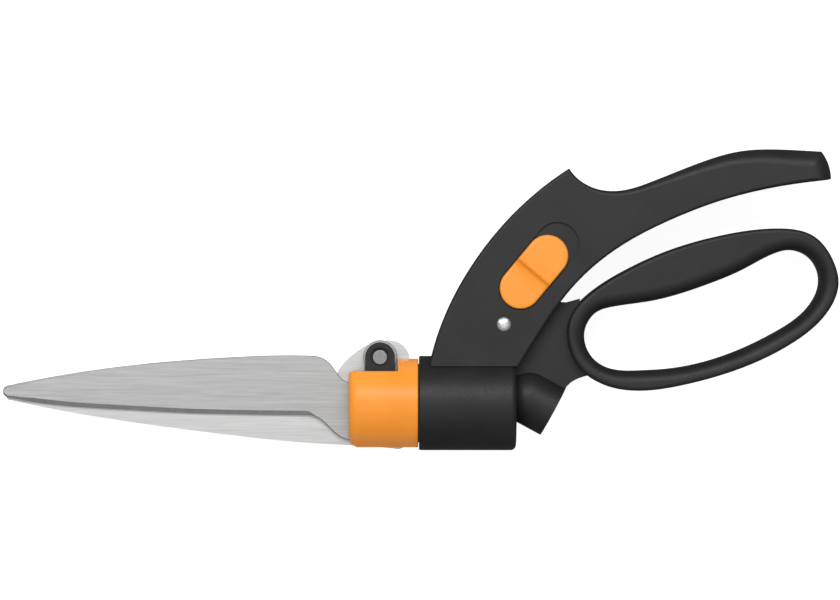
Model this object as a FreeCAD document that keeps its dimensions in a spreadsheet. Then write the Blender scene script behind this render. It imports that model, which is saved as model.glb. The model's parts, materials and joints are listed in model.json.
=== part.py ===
"""Grass shears with a swivelling blade head, as a parametric FreeCAD document.

Squeezing the loop handle turns it about the handle rivet. Its cup pulls a ball on the end of a rod that
runs along the axis of the sleeve, and the rod swings the upper blade down on the fixed lower blade. Blades,
fork, collar, rod and return spring turn together in the sleeve, so the cut can be set at any angle.

The model is drawn with X along the swivel axis, from the blade tips to the handles, Y from the blades'
backs to the top of the handle, and Z through the thickness, with x = 0 at the sleeve's front face. The
finished model is then moved so that its origin is the bottom centre of its bounding box.
Lengths are in millimetres and angles in degrees.
"""

import FreeCAD, Part
import math
import os

import Sketcher
from FreeCAD import Placement, Rotation, Vector

# The driving dimensions: what each one is, its name, and its value.
SIZES = [
    ("Sleeve, outer radius", "sleeve_radius", 19.8),
    ("Sleeve, length", "sleeve_length", 40.7),
    ("Sleeve, wall at the bearing", "sleeve_wall", 3.2),
    ("Sleeve, wall at the rear chamber", "chamber_wall", 2.4),
    ("Sleeve, bearing length", "bearing_length", 15.2),
    ("Sleeve, width of the inner shoulder", "shoulder_width", 2.4),
    ("Sleeve, rounding of the rear rim", "rim_round", 2.2),
    ("Core, neck radius", "neck_radius", 12.8),
    ("Core, neck length behind the shoulder", "neck_tail", 3.2),
    ("Core, spring bore radius", "spring_bore", 8.4),
    ("Core, rear wall", "core_rear_wall", 3.3),
    ("Radial clearance of the swivel", "swivel_gap", 0.1),
    ("Gap between the collar and the sleeve", "head_gap", 0.3),
    ("Collar, step down from the sleeve", "collar_step", 1.2),
    ("Collar, length", "collar_length", 29.3),
    ("Collar, front wall", "collar_front_wall", 1.9),
    ("Collar, rounding of the front rim", "collar_round", 3.8),
    ("Collar, rounding of the notch at the front rim", "notch_round", 1.8),
    ("Fork notch, height of its floor above the axis", "notch_height", 13.6),
    ("Fork notch, distance of its rear wall from the sleeve", "notch_back", 8.7),
    ("Blade pivot, distance ahead of the sleeve", "pivot_ahead", 16.3),
    ("Blade pivot, height above the axis", "pivot_height", 19.3),
    ("Blade pivot, barrel radius", "pivot_radius", 3.1),
    ("Fork ear, radius", "ear_radius", 6.2),
    ("Fork, width across the ears", "fork_width", 15.2),
    ("Ear counterbore, radius", "counterbore_radius", 4.15),
    ("Ear counterbore, depth", "counterbore_depth", 1.6),
    ("Blade, thickness", "blade_thickness", 2.5),
    ("Gap between the blades", "blade_gap", 0.2),
    ("Blade, reach of the tip ahead of the sleeve", "blade_reach", 174.5),
    ("Moving blade, radius of the pivot lobe", "lobe_radius", 7.1),
    ("Moving blade, radius of the drive eye", "eye_radius", 4.6),
    ("Blade washer, thickness", "washer_thickness", 0.5),
    ("Radial clearance of pins in holes", "pin_gap", 0.05),
    ("Drive pin, radius", "drive_radius", 2.0),
    ("Blade opening angle", "blade_open", 22.0),
    ("Fixed blade pins, radius", "blade_pin_radius", 1.6),
    ("Pull rod, radius", "rod_radius", 2.5),
    ("Clevis, half height", "clevis_half", 4.4),
    ("Clevis, tine thickness", "tine_thickness", 2.0),
    ("Clevis, base length", "clevis_base", 6.0),
    ("Return spring, outer radius", "spring_radius", 7.4),
    ("Return spring, wire radius", "spring_wire", 0.65),
    ("Return spring, number of coils", "spring_coils", 5),
    ("Spring flange, thickness", "flange_thickness", 1.5),
    ("Ball on the rod, radius", "ball_radius", 7.0),
    ("Ball, distance behind the sleeve's front face", "ball_back", 46.2),
    ("Handle rivet, distance behind the sleeve's front face", "lever_back", 35.5),
    ("Handle rivet, height above the axis", "lever_height", 33.2),
    ("Handle opening angle", "lever_open", 12.0),
    ("Handle rivet, radius", "rivet_radius", 2.9),
    ("Handle rivet, height of its domed end", "rivet_dome", 0.8),
    ("Lever bush, wall", "bush_wall", 1.6),
    ("Upper handle, thickness", "handle_thickness", 26.0),
    ("Upper handle, reach behind the sleeve's front face", "handle_reach", 172.5),
    ("Upper handle, height of the tip above the axis", "tip_height", 98.2),
    ("Upper handle, height of the thumb rest", "thumb_height", 88.7),
    ("Upper handle, height of the grip's top", "grip_top", 106.3),
    ("Upper handle, rounding of the palm edges", "palm_round", 7.0),
    ("Upper handle, rounding of the flat edges", "edge_round", 1.1),
    ("Upper handle, wall of the hollow grip", "grip_wall", 3.0),
    ("Ribs in the hollow grips, thickness", "rib_thickness", 1.8),
    ("Ribs in the hollow grips, spacing", "rib_spacing", 16.0),
    ("Loop handle, reach behind the sleeve's front face", "loop_reach", 175.4),
    ("Loop handle, thickness of the loop", "loop_thickness", 21.0),
    ("Loop handle, thickness of the lever plate", "plate_thickness", 9.0),
    ("Loop handle, side clearance of the plate", "plate_gap", 0.3),
    ("Loop handle, hub radius", "hub_radius", 12.0),
    ("Loop handle, inner rounding of the loop", "loop_inner_round", 5.0),
    ("Loop handle, outer rounding of the loop", "loop_outer_round", 1.6),
    ("Loop handle, wall of the hollow loop", "loop_wall", 2.8),
    ("Loop handle, cup radius", "cup_radius", 11.5),
    ("Loop handle, cup length from the dome's centre", "cup_length", 11.6),
    ("Loop handle, cup slant", "cup_slant", 28.5),
    ("Loop handle, height of the dome's centre above the axis", "cup_height", 2.3),
    ("Loop handle, clearance around the ball", "ball_gap", 0.35),
    ("Lock slide, length", "slide_length", 35.0),
    ("Lock slide, width", "slide_width", 17.4),
    ("Lock slide, height above the handle's side", "slide_height", 1.8),
    ("Lock slide, travel", "slide_travel", 6.3),
    ("Lock slide, clearance in its recess", "slide_gap", 0.5),
    ("Lock slide, depth of its recess", "slide_recess", 1.2),
    ("Lock slide, angle to the sleeve", "slide_angle", 50.1),
    ("Lock slide, width of its stem", "stem_width", 5.0),
    ("Lock bolt, width", "bolt_width", 8.0),
    ("Lock bolt, length", "bolt_length", 18.0),
    ("Lock bolt, distance of its tip from the slide's centre", "bolt_tip", 10.5),
]

SHEET = "Sizes"
DATUM = "Datum"
WHOLE = 400.0  # longer than the shears, for cuts that run right through


class Size:
    """A number together with the spreadsheet expression that gives it."""

    def __init__(self, value, text):
        self.value = value
        self.text = text

    def joined(self, other, sign, result):
        return Size(result, "(%s %s %s)" % (self.text, sign, text_of(other)))

    def __add__(self, other):
        return self.joined(other, "+", self.value + number(other))

    def __sub__(self, other):
        return self.joined(other, "-", self.value - number(other))

    def __mul__(self, other):
        return self.joined(other, "*", self.value * number(other))

    def __radd__(self, other):
        return Size(float(other), repr(float(other))) + self

    def __rsub__(self, other):
        return Size(float(other), repr(float(other))) - self

    def __truediv__(self, other):
        return self.joined(other, "/", self.value / number(other))

    def __neg__(self):
        return Size(-self.value, "(0 - %s)" % self.text)


def number(size):
    return size.value if isinstance(size, Size) else float(size)


def text_of(size):
    return size.text if isinstance(size, Size) else repr(float(size))


doc = FreeCAD.newDocument("GrassShears")


def make_sheet(name, rows):
    """A spreadsheet with one aliased plain number per row."""
    sheet = doc.addObject("Spreadsheet::Sheet", name)
    for row, (words, alias, value) in enumerate(rows, start=1):
        sheet.set("A%d" % row, words)
        sheet.set("B%d" % row, str(value))
        sheet.setAlias("B%d" % row, alias)
    doc.recompute()
    return sheet


sizes_sheet = make_sheet(SHEET, SIZES)
datum_sheet = make_sheet(
    DATUM, [("Model offset along " + axis, "shift_" + axis.lower(), 0) for axis in "XYZ"]
)


def size(alias):
    """The named size, with its expression."""
    return Size(float(sizes_sheet.get(alias)), "%s.%s" % (SHEET, alias))


# ---------------------------------------------------------------- document helpers


def bind(thing, prop, value):
    """Sets a property to a size and ties it to the sheet."""
    thing.setExpression(prop, text_of(value))


def place(thing, x=0.0, y=0.0, z=0.0):
    """Puts a sub-part at a point of the design frame, moved by the model's offset."""
    for axis, value in zip("xyz", (x, y, z)):
        text = "%s + %s.shift_%s" % (text_of(value), DATUM, axis)
        thing.setExpression("Placement.Base." + axis, text)


def new_body(label, x=0.0, y=0.0, z=0.0, base=None):
    body = doc.addObject("PartDesign::Body", label)
    body.Label = label
    if base is not None:
        body.BaseFeature = base
    place(body, x, y, z)
    return body


def new_sketch(body, role="XY_Plane", x=0.0, y=0.0, z=0.0, angle=0.0):
    """A sketch on one of the body's own origin planes, offset in the plane's axes and turned in it."""
    sketch = body.newObject("Sketcher::SketchObject", body.Label + "_sketch")
    plane = [feature for feature in body.Origin.OriginFeatures if feature.Role == role][0]
    sketch.AttachmentSupport = (plane, [""])
    sketch.MapMode = "FlatFace"
    if number(angle):
        sketch.AttachmentOffset = Placement(Vector(), Rotation(Vector(0, 0, 1), number(angle)))
    for axis, value in zip("xyz", (x, y, z)):
        if number(value):
            bind(sketch, "AttachmentOffset.Base." + axis, value)
    return sketch


def circle(sketch, radius):
    """A circle about the sketch's origin with a bound radius."""
    index = sketch.addGeometry(Part.Circle(Vector(0, 0, 0), Vector(0, 0, 1), number(radius)), False)
    sketch.addConstraint(Sketcher.Constraint("Coincident", index, 3, -1, 1))
    row = sketch.addConstraint(Sketcher.Constraint("Radius", index, number(radius)))
    bind(sketch, "Constraints[%d]" % row, radius)
    return sketch


def polygon(sketch, corners):
    """A closed polygon whose corners are bound to their sizes."""
    points = [Vector(number(x), number(y), 0) for x, y in corners]
    count = len(points)
    for index in range(count):
        sketch.addGeometry(Part.LineSegment(points[index], points[(index + 1) % count]), False)
    for index, (x, y) in enumerate(corners):
        sketch.addConstraint(Sketcher.Constraint("Coincident", (index - 1) % count, 2, index, 1))
        for kind, value in (("DistanceX", x), ("DistanceY", y)):
            row = sketch.addConstraint(
                Sketcher.Constraint(kind, -1, 1, index, 1, number(value))
            )
            bind(sketch, "Constraints[%d]" % row, value)
    return sketch


def outline(sketch, stretches):
    """A closed outline of stretches: two points make a line, three an arc, and more a spline."""
    for points in stretches:
        points = [Vector(x, y, 0) for x, y in points]
        if len(points) == 2:
            curve = Part.LineSegment(points[0], points[1])
        elif len(points) == 3:
            curve = Part.Arc(points[0], points[1], points[2])
        else:
            curve = Part.BSplineCurve()
            curve.interpolate(points)
        sketch.addGeometry(curve, False)
    return sketch


def pad(body, sketch, length, middle=True, reverse=False):
    feature = body.newObject("PartDesign::Pad", body.Label + "_pad")
    feature.Profile = sketch
    feature.Midplane = middle
    feature.Reversed = reverse
    bind(feature, "Length", length)
    return feature


def pocket(body, sketch, length, middle=True, reverse=False):
    """A cut, half to each side of the sketch, or to one side, which is +Z for reverse."""
    feature = body.newObject("PartDesign::Pocket", body.Label + "_pocket")
    feature.Profile = sketch
    feature.Midplane = middle
    feature.Reversed = reverse
    bind(feature, "Length", length)
    return feature


def turn(body, sketch, axis="H_Axis", cut=False):
    """A full revolution of the sketch about one of its axes, added or cut."""
    kind = "PartDesign::Groove" if cut else "PartDesign::Revolution"
    feature = body.newObject(kind, body.Label + "_turned")
    feature.Profile = sketch
    feature.ReferenceAxis = (sketch, [axis])
    feature.Angle = 360.0
    return feature


def edges_where(feature, test):
    """Names of the feature's edges that pass a test on their middle point and bounding box."""
    names = []
    for index, edge in enumerate(feature.Shape.Edges, start=1):
        middle = edge.valueAt((edge.FirstParameter + edge.LastParameter) / 2)
        if test(middle, edge):
            names.append("Edge%d" % index)
    return names


def dress(body, kind, test, value, prop):
    """A fillet or chamfer of the body's edges that pass a test."""
    doc.recompute()
    tip = body.Tip
    names = edges_where(tip, test)
    feature = body.newObject("PartDesign::" + kind, body.Label + "_" + kind.lower())
    feature.Base = (tip, names)
    bind(feature, prop, value)
    return feature


def fillet(body, test, radius):
    return dress(body, "Fillet", test, radius, "Radius")


def chamfer(body, test, width):
    return dress(body, "Chamfer", test, width, "Size")


def at_radius(radius, x, slack=0.05):
    """Tests for round edges about the X axis of a given radius and place along it."""

    def test(middle, edge):
        off_axis = math.hypot(middle.y, middle.z)
        return abs(off_axis - number(radius)) < slack and abs(middle.x - number(x)) < slack

    return test


def arc_points(x, y, radius, first, last):
    """Start, middle and end of an arc about (x, y), by its angles in degrees."""
    turns = [math.radians(angle) for angle in (first, (first + last) / 2, last)]
    return [(x + radius * math.cos(turn), y + radius * math.sin(turn)) for turn in turns]


def obround(sketch, length, width):
    """A slot outline about the sketch's origin, along its X axis."""
    half = number(width) / 2
    run = number(length) / 2 - half
    right = arc_points(run, 0, half, -90, 90)
    left = arc_points(-run, 0, half, 90, 270)
    return outline(sketch, [right, [right[-1], left[0]], left, [left[-1], right[0]]])


# ---------------------------------------------------------------- sizes that several sub-parts share

SLIVER = 0.05  # between pieces of one body that don't move against each other
WASHER_PLAY = 0.3  # behind the wave washer
EYE_ROOM = 2.2  # between the blade's drive eye and the clevis's base
FLANGE_ROOM = 2.9  # ahead of the spring flange with the blades open
PIN_DROP = 12.6  # of the front blade pin below the axis
PIN_END_ROOM = 0.4  # between the pins' ends and the collar's bore
CLEVIS_ROOM = 0.6  # around the clevis in the core

half_handle = size("handle_thickness") / 2
half_plate = size("plate_thickness") / 2
bearing_radius = size("sleeve_radius") - size("sleeve_wall")
chamber_radius = size("sleeve_radius") - size("chamber_wall")
shoulder_end = size("bearing_length") + size("shoulder_width")
core_radius = bearing_radius - size("swivel_gap")
core_front = size("collar_front_wall") + SLIVER - size("collar_length")
bearing_end = size("bearing_length") - size("washer_thickness") - WASHER_PLAY
neck_end = shoulder_end + size("neck_tail")
spring_seat = neck_end - size("core_rear_wall")
collar_radius = size("sleeve_radius") - size("collar_step")
half_gap = size("blade_gap") / 2
blade_face = half_gap + size("blade_thickness")  # outer face of either blade, from the middle plane
ear_inner = blade_face + size("washer_thickness") + 2 * SLIVER  # inner face of the front ear
half_fork = size("fork_width") / 2
counterbore_floor = half_fork - size("counterbore_depth")
tine_inner = blade_face + 0.3
tine_outer = tine_inner + size("tine_thickness")
pivot_x = -size("pivot_ahead")
pivot_y = size("pivot_height")
lever_x = size("lever_back")
lever_y = size("lever_height")
bush_radius = size("rivet_radius") + size("bush_wall")

# A ball that stays on the axis slides a little along the lever's arm, so its travel follows a tangent.
arm_angle = math.atan((number(size("ball_back")) - number(lever_x)) / number(lever_y))
lever_swing = math.radians(number(size("lever_open")))
ROD_TRAVEL = number(lever_y) * (math.tan(arm_angle) - math.tan(arm_angle - lever_swing))

# The drive pin swings evenly to both sides of the plumb line under the blade pivot.
half_swing = math.radians(number(size("blade_open")) / 2)
DRIVE_ARM = ROD_TRAVEL / (2 * math.sin(half_swing))
DRIVE_X = number(pivot_x) + DRIVE_ARM * math.sin(half_swing)
DRIVE_Y = number(pivot_y) - DRIVE_ARM * math.cos(half_swing)
DRIVE_RISE = DRIVE_ARM * (1 - math.cos(half_swing))
CLEVIS_Y = DRIVE_Y - DRIVE_RISE / 2
SLOT_END_X = DRIVE_X - ROD_TRAVEL  # where the drive pin stands with the blades open

clevis_front = DRIVE_X - number(size("clevis_half"))
base_front = DRIVE_X + number(size("eye_radius")) + EYE_ROOM
base_back = base_front + number(size("clevis_base"))
blade_back = -4.0  # rear end of the fixed blade, inside the collar
bore_front = blade_back + 0.4  # front end of the spring bore
flange_front = bore_front + ROD_TRAVEL + FLANGE_ROOM

slide_turn = math.radians(number(size("slide_angle")))
slide_way = Vector(math.cos(slide_turn), math.sin(slide_turn), 0)
slide_centre = Vector(number(lever_x) + 12.5, number(lever_y) + 21.8, 0)


def along_slide(distance):
    """The point of the slide's line at a distance from the slide's centre at rest."""
    return slide_centre + slide_way * distance


def ball_in_lever(opened):
    """Centre of the ball in the lever's own frame at a share of the lever's opening."""
    swing = lever_swing * opened
    x = number(size("ball_back")) - opened * ROD_TRAVEL - number(lever_x)
    y = -number(lever_y)
    return Vector(
        number(lever_x) + x * math.cos(swing) - y * math.sin(swing),
        number(lever_y) + x * math.sin(swing) + y * math.cos(swing),
        0,
    )


def height_on(points, x):
    """Height of an outline, given from left to right, at a place along X."""
    for (x0, y0), (x1, y1) in zip(points, points[1:]):
        if x0 <= x <= x1:
            return y0 + (y1 - y0) * (x - x0) / (x1 - x0)
    raise ValueError("outside the outline: %s" % x)


def box_sketch(body, x0, x1, y0, y1, **attachment):
    return polygon(new_sketch(body, **attachment), [(x0, y0), (x1, y0), (x1, y1), (x0, y1)])


def hole(body, x, y, radius, length, z=0.0, middle=True, reverse=False):
    """A round hole along Z."""
    return pocket(body, circle(new_sketch(body, x=x, y=y, z=z), radius), length, middle, reverse)


def turned(body, corners, cut=False, **attachment):
    """A revolved polygon of (place along the axis, radius) corners."""
    return turn(body, polygon(new_sketch(body, **attachment), corners), cut=cut)


def ring(label, inner, outer, start, length):
    """A plain ring about the swivel axis."""
    body = new_body(label)
    end = start + length
    turned(body, [(start, inner), (end, inner), (end, outer), (start, outer)])
    return body


# ---------------------------------------------------------------- upper handle with the sleeve


def handle_curves():
    """The upper handle's outline: front edge, thumb rest, grip, end, underside and foot."""
    reach = number(size("handle_reach"))
    tip = number(size("tip_height"))
    thumb = number(size("thumb_height"))
    grip = number(size("grip_top"))
    radius = number(size("sleeve_radius"))
    foot = math.sqrt(radius**2 - number(half_handle) ** 2) + 0.7
    front = [(4.3, foot), (12.2, foot + 24.1), (24.0, tip - 37.7), (40.1, tip - 18.2), (62.7, tip)]
    thumb_rest = [(62.7, tip), (67.7, thumb + 4.1), (74.4, thumb + 0.9), (84.6, thumb + 0.3)]
    thumb_rest.append((96.9, thumb + 3.9))
    top = [(reach - 53.1, grip - 4.9), (reach - 38.1, grip - 0.8), (reach - 23.1, grip)]
    top.append((reach - 4.0, grip - 0.9))
    end = [top[-1], (reach - 1.1, grip - 6.3), (reach, grip - 12.4)]
    under = [(sleeve_back(), foot), (lever_side(17.6), 33.8), (lever_side(28.0), 47.9)]
    under += [(lever_side(47.0), thumb - 24.1), (reach - 68.1, grip - 29.9)]
    under += [(reach - 41.8, grip - 20.1), (reach - 15.6, grip - 14.3), end[-1]]
    return front, thumb_rest + top, end, under


def sleeve_back():
    return number(size("sleeve_length")) + 0.9


def lever_side(distance):
    """A place along X counted from the handle rivet."""
    return number(lever_x) + distance


def handle_blank():
    """The upper handle's slab, with its edges rounded, soft along the palm and crisp elsewhere."""
    front, top, end, under = handle_curves()
    sketch = doc.addObject("Sketcher::SketchObject", "HandleOutline")
    outline(sketch, [front, top, end, under, [under[0], front[0]]])
    slab = doc.addObject("Part::Extrusion", "HandleSlab")
    slab.Base = sketch
    slab.Dir = Vector(0, 0, 1)
    slab.Solid = True
    slab.Symmetric = True
    bind(slab, "LengthFwd", size("handle_thickness"))
    doc.recompute()
    crisp = number(size("edge_round"))
    soft = number(size("palm_round"))
    rounds = []
    for index, edge in enumerate(slab.Shape.Edges, start=1):
        box = edge.BoundBox
        middle = edge.valueAt((edge.FirstParameter + edge.LastParameter) / 2)
        if box.ZLength > 1 or box.YMax < under[0][1] + 1:
            continue
        if box.XMin > number(size("handle_reach")) - 6:
            rounds.append((index, soft, soft))
        elif box.XMin > front[-1][0] - 1 and middle.y > height_on(under, middle.x) + 10:
            rounds.append((index, crisp, soft))
        else:
            rounds.append((index, crisp, crisp))
    blank = doc.addObject("Part::Fillet", "HandleRounded")
    blank.Base = slab
    blank.Edges = rounds
    return blank


def upper_handle():
    """Cheeks, hollow grip and sleeve, moulded in one piece."""
    blank = handle_blank()
    doc.recompute()
    body = new_body("upper_handle", base=blank)
    length = size("sleeve_length")
    radius = size("sleeve_radius")
    turned(body, [(0, 0), (length, 0), (length, radius), (0, radius)])
    fillet(body, at_radius(radius, length), size("rim_round"))
    chamfer(body, at_radius(radius, 0), 0.4)
    turned(
        body,
        [
            (-1, 0),
            (length + 1, 0),
            (length + 1, chamber_radius),
            (shoulder_end, chamber_radius),
            (shoulder_end, size("neck_radius") + size("swivel_gap")),
            (size("bearing_length"), size("neck_radius") + size("swivel_gap")),
            (size("bearing_length"), bearing_radius),
            (-1, bearing_radius),
        ],
        cut=True,
    )
    slot_width = size("plate_thickness") + size("plate_gap") * 2
    slot_front = lever_x - size("hub_radius") - 0.6
    slot_top = lever_y + size("hub_radius") + 0.8
    pocket(body, box_sketch(body, slot_front, lever_x + 45, 0, slot_top), slot_width)
    hollow_grip(body)
    hole(body, lever_x, lever_y, size("rivet_radius") + size("pin_gap"), WHOLE)
    washer_seat = size("rivet_radius") + size("bush_wall") * 2
    hole(body, lever_x, lever_y, washer_seat, 1.2, -half_handle, middle=False, reverse=True)
    lock_recess(body, slot_width)
    return body


def hollow_grip(body):
    """The grip is a channel open to its underside, stiffened by cross ribs."""
    _, top, _, under = handle_curves()
    wall = number(size("grip_wall"))
    reach = number(size("handle_reach"))
    roof = [(x, y - wall - 1.2) for x, y in top[3:-1]]
    roof.append((reach - 9.0, roof[-1][1]))
    low = under[3][1] - 6
    corners = [roof[-1], (roof[-1][0], low), (roof[0][0], low), roof[0]]
    sketch = new_sketch(body)
    outline(sketch, [roof] + [list(pair) for pair in zip(corners, corners[1:])])
    pocket(body, sketch, size("handle_thickness") - size("grip_wall") * 2)
    spacing = number(size("rib_spacing"))
    half_rib = number(size("rib_thickness")) / 2
    x = roof[0][0] + spacing
    while x < roof[-1][0] - spacing / 2:
        bottom = max(height_on(under, x - half_rib), height_on(under, x + half_rib)) + 1.5
        rib = box_sketch(body, x - half_rib, x + half_rib, bottom, height_on(roof, x) + 1)
        pad(body, rib, size("handle_thickness") - size("grip_wall") * 2 + 0.6)
        x += spacing


def lock_recess(body, slot_width):
    """The slide's shallow recess, the slot for its stem, and the channel of the bolt behind it."""
    travel = size("slide_travel")
    gap = size("slide_gap")
    middle = along_slide(number(travel) / 2)
    angle = size("slide_angle")
    sketch = new_sketch(body, x=middle.x, y=middle.y, z=half_handle, angle=angle)
    obround(sketch, size("slide_length") + travel + gap * 2, size("slide_width") + gap * 2)
    pocket(body, sketch, size("slide_recess"), middle=False)
    stem = size("stem_width") + gap * 2
    sketch = new_sketch(body, x=middle.x, y=middle.y, z=half_handle, angle=angle)
    obround(sketch, stem + travel, stem)
    pocket(body, sketch, half_handle - half_plate, middle=False)
    tip = along_slide(-number(size("bolt_tip")))
    side = size("bolt_width") / 2 + gap
    channel = new_sketch(body, x=tip.x, y=tip.y, angle=angle)
    far = size("bolt_length") + travel + 1
    polygon(channel, [(-4, -side), (far, -side), (far, side + 2), (-4, side + 2)])
    pocket(body, channel, slot_width)


def handle_rivet():
    """The rivet that the loop handle turns on, with a domed end in front and a formed head behind."""
    radius = size("rivet_radius")
    body = new_body("handle_rivet", lever_x, lever_y)
    face = number(half_handle)
    shaft = number(radius)
    head = shaft + number(size("bush_wall"))
    rise = number(size("rivet_dome"))
    cap = (shaft**2 + rise**2) / (2 * rise)
    spread = math.degrees(math.asin(shaft / cap))
    dome = arc_points(0, face + rise - cap, cap, 90 - spread, 90)
    corners = [(0, -face), (head, -face), (head, 0.6 - face), (shaft, 0.6 - face), dome[0]]
    lines = [list(pair) for pair in zip(corners, corners[1:])]
    sketch = new_sketch(body, "XZ_Plane")
    outline(sketch, lines + [dome, [dome[-1], corners[0]]])
    turn(body, sketch, "V_Axis")
    return body


def rivet_washer():
    """The washer under the rivet's formed head, in its seat in the rear cheek."""
    body = new_body("rivet_washer", lever_x, lever_y)
    inner = size("rivet_radius") + SLIVER
    outer = size("rivet_radius") + size("bush_wall") * 2 - SLIVER
    low = 0.65 - half_handle
    sketch = new_sketch(body, "XZ_Plane")
    polygon(sketch, [(inner, low), (outer, low), (outer, low + 0.5), (inner, low + 0.5)])
    turn(body, sketch, "V_Axis")
    return body


# ---------------------------------------------------------------- loop handle


def loop_curves():
    """Outer and inner outlines of the loop, counted back from its reach where they depend on it."""
    reach = number(size("loop_reach"))
    outer = [(62.1, 28.0), (64.2, 38.0), (71.5, 46.1), (85.7, 55.3), (104.4, 63.9)]
    outer += [(reach - 48.5, 70.4), (reach - 26.0, 73.2), (reach - 10.7, 70.2), (reach - 1.9, 59.0)]
    outer += [(reach, 50.0), (reach - 4.4, 38.5), (reach - 18.7, 25.6), (reach - 41.0, 14.6)]
    outer += [(111.9, 8.0), (91.7, 5.3), (76.6, 8.1), (66.3, 16.0)]
    inner = [(69.2, 28.7), (70.7, 34.0), (74.4, 38.2), (80.4, 40.3), (96.9, 42.8), (119.4, 49.3)]
    inner += [(reach - 38.5, 56.7), (reach - 26.0, 63.0), (reach - 18.7, 64.2), (reach - 11.0, 60.6)]
    inner += [(reach - 7.3, 51.5), (reach - 11.2, 41.2), (reach - 25.4, 30.0), (reach - 40.6, 22.5)]
    inner += [(119.4, 17.2), (104.4, 14.4), (93.2, 13.7), (80.4, 14.5), (74.0, 17.8), (70.4, 22.7)]
    return outer, inner


def closed_spline(points):
    curve = Part.BSplineCurve()
    curve.interpolate([Vector(x, y, 0) for x, y in points], PeriodicFlag=True)
    return curve


def plate_curves():
    """The lever plate: hub, top edge, the part inside the loop, the neck of the cup, and the arm."""
    x, y = number(lever_x), number(lever_y)
    hub = arc_points(x, y, number(size("hub_radius")), 60, 200)
    cup_x, cup_y = number(size("ball_back")), number(size("cup_height"))
    neck = [(70.9, 11.7), (65.9, 10.0), (63.3, 8.4), (61.4, 6.2)]
    arm = [(cup_x - 9.7, cup_y + 4.7), (x - 2.5, y - 20.2), (x - 7.5, y - 11.2), hub[2]]
    points = [(62.0, 42.3), (67.5, 43.8), (66.0, 30.0), neck[0]]
    lines = [[hub[0], points[0]]] + [list(pair) for pair in zip(points, points[1:])]
    return [hub[::-1]] + lines + [neck, [neck[-1], (cup_x, cup_y)], [(cup_x, cup_y), arm[0]], arm]


def lower_handle():
    """Loop, lever plate and the cup that holds the rod's ball, moulded in one piece."""
    body = new_body("lower_handle")
    sketch = new_sketch(body)
    outer, inner = loop_curves()
    for points in (outer, inner):
        sketch.addGeometry(closed_spline(points), False)
    pad(body, sketch, size("loop_thickness"))
    hollow_loop(body, outer, inner)
    fillet(body, lambda middle, edge: loop_edge(edge, 100), size("loop_outer_round"))
    fillet(body, lambda middle, edge: 80 < edge.BoundBox.XLength < 100, size("loop_inner_round"))
    plate = new_sketch(body)
    outline(plate, plate_curves())
    pad(body, plate, size("plate_thickness"))
    lever_cup(body)
    hole(body, lever_x, lever_y, bush_radius + SLIVER, WHOLE)
    notch = along_slide(-number(size("bolt_tip")) - 0.5)
    corner = size("bolt_width") / 2 + 0.5
    sketch = new_sketch(body, x=notch.x, y=notch.y, angle=size("slide_angle"))
    polygon(sketch, [(-6, -corner), (3, -corner), (3, corner), (-6, corner)])
    pocket(body, sketch, WHOLE / 10)
    return body


def loop_edge(edge, length):
    return edge.BoundBox.XLength > length and edge.BoundBox.ZLength < 0.1


def hollow_loop(body, outer, inner):
    """The deep upper bar of the loop is a channel open to the grip, stiffened by cross ribs."""
    wall = number(size("loop_wall"))
    floor = [(x, y + wall + 2.2) for x, y in inner[3:8]]
    high = outer[6][1] + 8
    corners = [floor[-1], (floor[-1][0], high), (floor[0][0], high), floor[0]]
    sketch = new_sketch(body)
    outline(sketch, [floor] + [list(pair) for pair in zip(corners, corners[1:])])
    width = size("loop_thickness") - size("loop_wall") * 2
    pocket(body, sketch, width)
    spacing = number(size("rib_spacing"))
    half_rib = number(size("rib_thickness")) / 2
    x = floor[0][0] + spacing
    while x < floor[-1][0] - spacing / 2:
        top = min(height_on(outer[3:8], x - half_rib), height_on(outer[3:8], x + half_rib)) - 1.5
        rib = box_sketch(body, x - half_rib, x + half_rib, height_on(floor, x) - 1, top)
        pad(body, rib, width + 0.4)
        x += spacing


def lever_cup(body):
    """A slanted cup with a domed end; the ball goes in at its open end and the rod through a slot."""
    radius = number(size("cup_radius"))
    length = number(size("cup_length"))
    slant = -size("cup_slant")
    cup_x, cup_y = size("ball_back"), size("cup_height")
    sketch = new_sketch(body, x=cup_x, y=cup_y, angle=slant)
    dome = arc_points(0, 0, radius, 180, 90)
    outline(sketch, [dome, [dome[2], (length, radius)], [(length, radius), (length, 0)],
                     [(length, 0), dome[0]]])
    turn(body, sketch)
    shut, opened = ball_in_lever(0), ball_in_lever(1)
    seat = number(size("ball_radius")) + number(size("ball_gap"))
    run = (opened - shut).Length
    tilt = math.degrees(math.atan2(opened.y - shut.y, opened.x - shut.x))
    sketch = new_sketch(body, x=shut.x, y=shut.y, angle=tilt)
    near = arc_points(0, 0, seat, 180, 90)
    far = arc_points(run, 0, seat, 90, 0)
    outline(sketch, [near, [near[2], far[0]], far, [far[2], near[0]]])
    turn(body, sketch, cut=True)
    middle = (shut + opened) / 2
    mouth = seat + run / 2 * 0.7
    turned(body, [(0, 0), (20, 0), (20, mouth), (0, mouth)], cut=True, x=middle.x, y=middle.y,
           angle=slant)
    slot = [(0, -4.6), (0, 4.6), (-size("cup_radius") - 8, 4.2), (-size("cup_radius") - 8, -6.2)]
    sketch = new_sketch(body, x=cup_x)
    pocket(body, polygon(sketch, slot), (size("rod_radius") + 0.4) * 2)


def lever_bush():
    """The steel bush in the lever's hub."""
    body = new_body("lever_bush", lever_x, lever_y)
    length = size("plate_thickness") + size("plate_gap")
    sketch = circle(new_sketch(body), bush_radius)
    pad(body, sketch, length)
    hole(body, 0, 0, size("rivet_radius") + size("pin_gap"), WHOLE)
    return body


# ---------------------------------------------------------------- lock


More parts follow.
